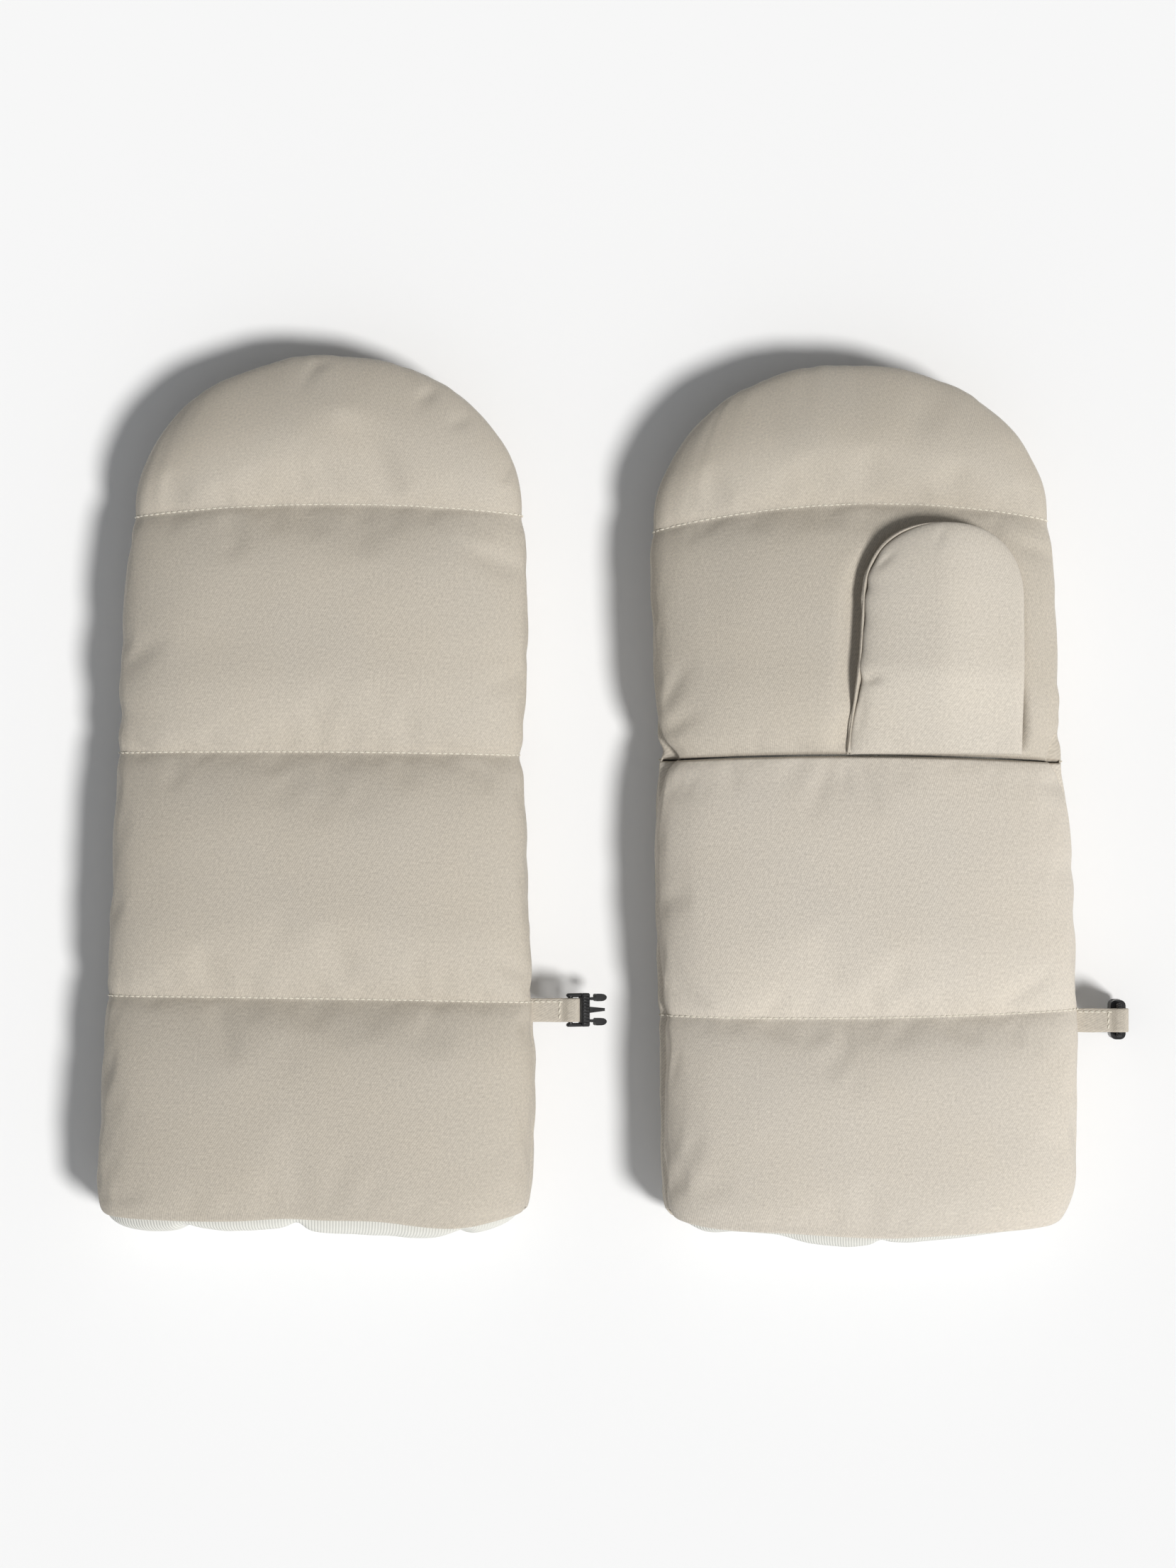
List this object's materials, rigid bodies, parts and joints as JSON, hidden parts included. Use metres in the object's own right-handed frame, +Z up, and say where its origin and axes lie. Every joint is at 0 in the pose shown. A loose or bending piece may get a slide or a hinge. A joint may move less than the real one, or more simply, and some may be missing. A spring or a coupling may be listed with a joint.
{
  "type": "stroller hand muff",
  "caption": "Pair of quilted stroller mittens with hinged thumb pouches, off-white lining and side straps that clip together with a small buckle.",
  "frame": {"origin": "middle of the pair's bounding box, on the surface that both mittens lie on", "axes": "+Y from the cuffs to the fingertips, +X across the pair towards the right-hand mitten, +Z up"},
  "size_m": [0.4524, 0.392, 0.0671],
  "materials": {
    "shell_twill": "stone-beige fine twill, matt with a slight sheen",
    "wadding": "soft white wadding, hidden between shell and lining",
    "lining_cotton": "off-white cotton, matt, finely ribbed",
    "buckle_plastic": "black moulded plastic, satin"
  },
  "bodies": {
    "left_mitten": {"left_back_shell": "shell_twill", "left_back_wadding": "wadding", "left_back_lining": "lining_cotton", "left_back_rim": "lining_cotton", "left_palm_shell": "shell_twill", "left_palm_wadding": "wadding", "left_palm_lining": "lining_cotton", "left_palm_rim": "lining_cotton", "left_finger_shell": "shell_twill", "left_finger_wadding": "wadding"},
    "left_thumb": {"left_thumb_front_shell": "shell_twill", "left_thumb_front_wadding": "wadding", "left_thumb_front_lining": "lining_cotton", "left_thumb_back_shell": "shell_twill", "left_thumb_back_wadding": "wadding", "left_thumb_back_lining": "lining_cotton"},
    "left_strap_band": {"left_strap": "shell_twill"},
    "male_buckle": {"left_buckle_body": "buckle_plastic"},
    "upper_prong": {"left_upper_prong": "buckle_plastic"},
    "lower_prong": {"left_lower_prong": "buckle_plastic"},
    "right_mitten": {"right_back_shell": "shell_twill", "right_back_wadding": "wadding", "right_back_lining": "lining_cotton", "right_back_rim": "lining_cotton", "right_palm_shell": "shell_twill", "right_palm_wadding": "wadding", "right_palm_lining": "lining_cotton", "right_palm_rim": "lining_cotton", "right_finger_shell": "shell_twill", "right_finger_wadding": "wadding"},
    "right_thumb": {"right_thumb_front_shell": "shell_twill", "right_thumb_front_wadding": "wadding", "right_thumb_front_lining": "lining_cotton", "right_thumb_back_shell": "shell_twill", "right_thumb_back_wadding": "wadding", "right_thumb_back_lining": "lining_cotton"},
    "right_strap_band": {"right_strap": "shell_twill"},
    "female_buckle": {"right_buckle_socket": "buckle_plastic"}
  },
  "joints": [
    {"name": "mittens_apart", "type": "slide", "parent": "left_mitten", "child": "right_mitten", "axis": [1, 0, 0], "range_m": [0, 0.15]},
    {"name": "left_thumb_swing", "type": "hinge", "parent": "left_mitten", "child": "left_thumb", "pos_m": [-0.13194, 0.02045, 0.0059], "axis": [-1, 0, 0], "range_deg": [0, 60]},
    {"name": "right_thumb_swing", "type": "hinge", "parent": "right_mitten", "child": "right_thumb", "pos_m": [0.11106, 0.01605, 0.0461], "axis": [1, 0, 0], "range_deg": [0, 60]},
    {"name": "left_strap_bend", "type": "hinge", "parent": "left_mitten", "child": "left_strap_band", "pos_m": [-0.03693, -0.09405, 0.025], "axis": [0, 1, 0], "range_deg": [-45, 45]},
    {"name": "right_strap_bend", "type": "hinge", "parent": "right_mitten", "child": "right_strap_band", "pos_m": [0.20274, -0.09845, 0.027], "axis": [0, 1, 0], "range_deg": [-45, 45]},
    {"name": "male_buckle_swing", "type": "hinge", "parent": "left_strap_band", "child": "male_buckle", "pos_m": [-0.02013, -0.09405, 0.025], "axis": [0, 1, 0], "range_deg": [-100, 50]},
    {"name": "female_buckle_swing", "type": "hinge", "parent": "right_strap_band", "child": "female_buckle", "pos_m": [0.22204, -0.09845, 0.027], "axis": [0, 1, 0], "range_deg": [-150, 5]},
    {"name": "upper_prong_flex", "type": "hinge", "parent": "male_buckle", "child": "upper_prong", "pos_m": [-0.01144, -0.08915, 0.02038], "axis": [-0.4695, 0, -0.8829], "range_deg": [0, 12], "stiffness_Nm_per_rad": 0.02},
    {"name": "lower_prong_flex", "type": "hinge", "parent": "male_buckle", "child": "lower_prong", "pos_m": [-0.01144, -0.09895, 0.02038], "axis": [0.4695, 0, 0.8829], "range_deg": [0, 12], "stiffness_Nm_per_rad": 0.02}
  ],
  "couplings": [
    {"joint": "lower_prong_flex", "follows": "upper_prong_flex", "ratio": 1}
  ]
}
